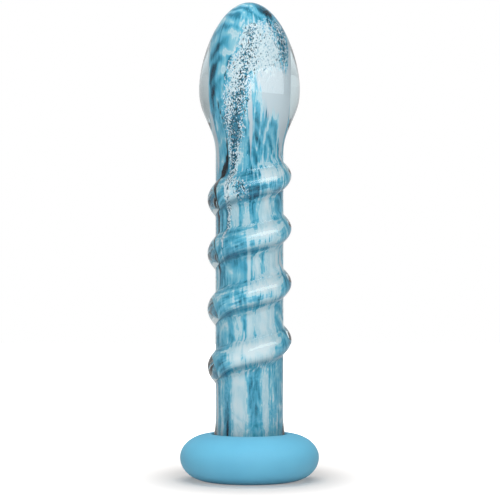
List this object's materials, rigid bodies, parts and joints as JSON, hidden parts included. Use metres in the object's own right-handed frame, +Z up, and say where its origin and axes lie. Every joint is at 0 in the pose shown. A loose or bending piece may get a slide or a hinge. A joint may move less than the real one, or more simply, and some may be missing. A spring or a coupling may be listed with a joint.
{
  "type": "glass massage wand with silicone base",
  "caption": "Straight art-glass massage wand with an egg-shaped head, a raised glass spiral round its shaft and a soft silicone base that it stands in and lifts out of.",
  "frame": {"origin": "centre of the base's flat underside, on the surface that the part stands on", "axes": "+Z up along the wand's axis to the tip of the head; -Y is the front that the picture shows and +X its right-hand side"},
  "size_m": [0.051, 0.051, 0.176],
  "materials": {
    "silicone": "matte",
    "clear_glass": "fire-polished",
    "streaked_glass": "opaque turquoise and white streaks"
  },
  "bodies": {
    "base": {"silicone_base": "silicone"},
    "wand": {"glass_foot": "clear_glass", "shaft_casing": "clear_glass", "head_gather": "clear_glass", "colour_core": "streaked_glass", "spiral_trail": "clear_glass"}
  },
  "joints": [
    {"name": "wand_lift", "type": "slide", "parent": "base", "child": "wand", "axis": [0, 0, 1], "range_m": [0, 0.03], "deforming": ["silicone_base"]}
  ]
}
